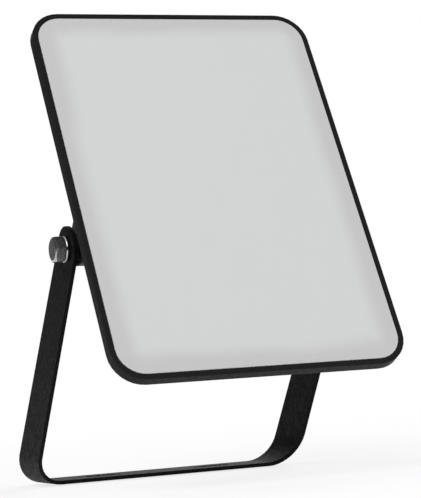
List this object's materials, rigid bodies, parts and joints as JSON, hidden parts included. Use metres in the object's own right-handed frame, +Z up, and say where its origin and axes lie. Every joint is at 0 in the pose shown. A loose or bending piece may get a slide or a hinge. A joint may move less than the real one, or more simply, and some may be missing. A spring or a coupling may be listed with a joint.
{
  "type": "led flood light",
  "caption": "Slim flood light: black die-cast head with an opal diffuser and cooling fins, tilting on side bolts in a swept U bracket with a slotted foot.",
  "frame": {"origin": "centre of the underside of the bracket's foot, on solid sheet between its two fixing slots", "axes": "+X along the tilt axis, -Y the side the lit face looks towards, +Z up from the surface that the foot is fixed to"},
  "size_m": [0.1626, 0.1649, 0.2366],
  "materials": {
    "housing_black": "satin",
    "bracket_black": "satin",
    "diffuser_opal": "satin",
    "seal_silicone": "matte",
    "board_aluminium": "satin",
    "reflector_white": "matte",
    "screw_steel": "satin",
    "terminal_white": "satin",
    "terminal_brass": "satin",
    "rectifier_black": "satin",
    "driver_black": "satin",
    "fuse_ceramic": "satin",
    "varistor_blue": "satin",
    "earth_lug_tin": "satin",
    "earth_screw_brass": "satin",
    "gland_washer_rubber": "matte",
    "gland_black": "satin",
    "gland_nut_black": "satin",
    "gland_seal_rubber": "matte",
    "bolt_steel": "polished",
    "lock_washer_steel": "satin",
    "washer_fibre": "matte"
  },
  "bodies": {
    "bracket": {"bracket": "bracket_black"},
    "lamp_head": {"housing": "housing_black", "diffuser": "diffuser_opal", "diffuser_seal": "seal_silicone", "led_board": "board_aluminium", "reflector_sheet": "reflector_white", "board_screw_1": "screw_steel", "board_screw_2": "screw_steel", "board_screw_3": "screw_steel", "board_screw_4": "screw_steel", "board_screw_5": "screw_steel", "board_screw_6": "screw_steel", "board_screw_7": "screw_steel", "board_screw_8": "screw_steel", "terminal_block": "terminal_white", "terminal_screw_1": "terminal_brass", "terminal_screw_2": "terminal_brass", "terminal_screw_3": "terminal_brass", "bridge_rectifier": "rectifier_black", "driver_chip_1": "driver_black", "driver_chip_2": "driver_black", "driver_chip_3": "driver_black", "fuse": "fuse_ceramic", "varistor": "varistor_blue", "earth_lug": "earth_lug_tin", "earth_screw": "earth_screw_brass", "gland_washer": "gland_washer_rubber", "gland_body": "gland_black", "gland_nut": "gland_nut_black", "gland_seal": "gland_seal_rubber", "pivot_bolt_left": "bolt_steel", "lock_washer_left": "lock_washer_steel", "friction_washer_left": "washer_fibre", "pivot_bolt_right": "bolt_steel", "lock_washer_right": "lock_washer_steel", "friction_washer_right": "washer_fibre"}
  },
  "joints": [
    {"name": "head_tilt", "type": "hinge", "parent": "bracket", "child": "lamp_head", "pos_m": [0, -0.08791, 0.1164], "axis": [1, 0, 0], "range_deg": [-115, 63]}
  ]
}
